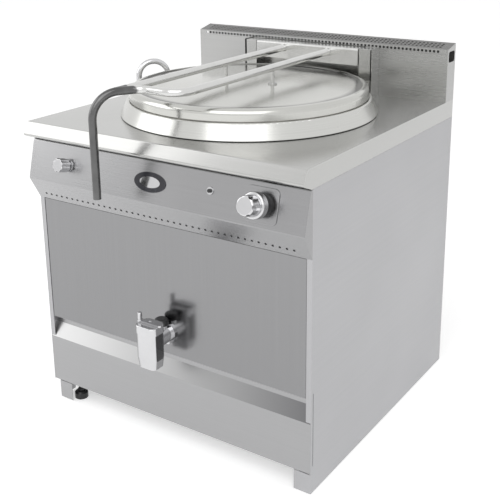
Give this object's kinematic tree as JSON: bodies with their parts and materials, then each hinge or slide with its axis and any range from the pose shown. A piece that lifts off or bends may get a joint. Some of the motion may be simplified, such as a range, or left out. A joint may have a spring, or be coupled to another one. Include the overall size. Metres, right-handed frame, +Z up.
{
  "type": "steam jacketed kettle",
  "caption": "Floor-standing boiling kettle with steam jacket, hinged lid on a tubular lifting frame, front drain tap, sloping control fascia and rear flue grille.",
  "frame": {"origin": "on the floor, under the middle of the overall footprint from the lifting handle to the rear pipe ends", "axes": "+Z up, the front with its tap and controls faces -Y, +X to the right of someone facing the front"},
  "size_m": [0.9, 0.9956, 1.04],
  "materials": {
    "panel_steel": "satin brushed stainless steel",
    "top_steel": "pressed satin stainless steel",
    "vessel_steel": "polished stainless steel",
    "tube_steel": "bright drawn stainless tube",
    "chrome": "polished chrome plate",
    "black_plastic": "moulded black plastic",
    "gasket_rubber": "grey silicone",
    "frame_steel": "galvanised structural steel",
    "dark_steel": "heat-darkened steel",
    "brass": "machined brass",
    "spring_steel": "oiled spring steel",
    "insulation": "mineral wool",
    "badge": "dark enamelled blank plate"
  },
  "bodies": {
    "cabinet": {"base_frame": "frame_steel", "side_frame_left": "frame_steel", "side_frame_right": "frame_steel", "foot_front_left": "black_plastic", "foot_front_right": "black_plastic", "foot_rear_left": "black_plastic", "foot_rear_right": "black_plastic", "side_panel_left": "panel_steel", "side_panel_right": "panel_steel", "leg_plate": "panel_steel", "rear_panel": "panel_steel", "apron": "panel_steel", "front_panel": "panel_steel", "fascia": "panel_steel", "worktop": "top_steel", "kettle_ring": "vessel_steel", "vessel": "vessel_steel", "jacket": "top_steel", "jacket_insulation": "insulation", "relief_valve": "brass", "kettle_stand_left": "frame_steel", "kettle_stand_right": "frame_steel", "burner": "dark_steel", "burner_shield": "dark_steel", "pilot_assembly": "brass", "flue_duct": "dark_steel", "upstand": "top_steel", "flue_grille": "top_steel", "hinge_bearings": "tube_steel", "hinge_springs": "spring_steel", "hinge_housing": "top_steel", "gas_valve": "brass", "water_valve": "brass", "knob_bezel": "panel_steel", "knob_base_ring": "black_plastic", "water_escutcheon": "chrome", "igniter": "chrome", "badge_plate": "badge", "gas_supply_pipe": "tube_steel", "gas_feed_pipe": "tube_steel", "water_inlet_pipe": "tube_steel", "water_feed_pipe": "tube_steel", "filling_pipe": "chrome", "filling_pipe_collar": "chrome", "drain_pipe": "tube_steel", "tap_body": "chrome", "tap_bonnet": "chrome", "tap_cap": "black_plastic"},
    "lid_assembly": {"lid": "vessel_steel", "lid_gasket": "gasket_rubber", "lid_frame": "tube_steel", "lid_posts": "tube_steel", "hinge_shaft": "tube_steel"},
    "gas_spindle_body": {"gas_spindle": "chrome"},
    "gas_knob_body": {"control_knob": "chrome"},
    "water_handle_body": {"water_knob": "chrome", "water_stem": "chrome"},
    "igniter_button_body": {"igniter_button": "black_plastic"},
    "tap_plug_body": {"tap_plug": "chrome", "tap_lever": "chrome"}
  },
  "joints": [
    {"name": "lid_hinge", "type": "hinge", "parent": "cabinet", "child": "lid_assembly", "pos_m": [0, 0.38482, 1], "axis": [-1, 0, 0], "range_deg": [0, 85]},
    {"name": "gas_knob_push", "type": "slide", "parent": "cabinet", "child": "gas_spindle_body", "axis": [0, 0.968, -0.251], "range_m": [0, 0.004], "stiffness_N_per_m": 900, "springref_m": -0.004},
    {"name": "gas_knob_turn", "type": "hinge", "parent": "gas_spindle_body", "child": "gas_knob_body", "pos_m": [0.323, -0.38917, 0.762], "axis": [0, -0.968, 0.251], "range_deg": [0, 180]},
    {"name": "water_handle_turn", "type": "hinge", "parent": "cabinet", "child": "water_handle_body", "pos_m": [-0.309, -0.38917, 0.762], "axis": [0, -0.968, 0.251], "range_deg": [0, 90]},
    {"name": "igniter_push", "type": "slide", "parent": "cabinet", "child": "igniter_button_body", "axis": [0, 0.968, -0.251], "range_m": [0, 0.004], "stiffness_N_per_m": 600, "springref_m": -0.003},
    {"name": "drain_tap_turn", "type": "hinge", "parent": "cabinet", "child": "tap_plug_body", "pos_m": [0, -0.43717, 0.4], "axis": [0, 0, 1], "range_deg": [0, 90]}
  ]
}
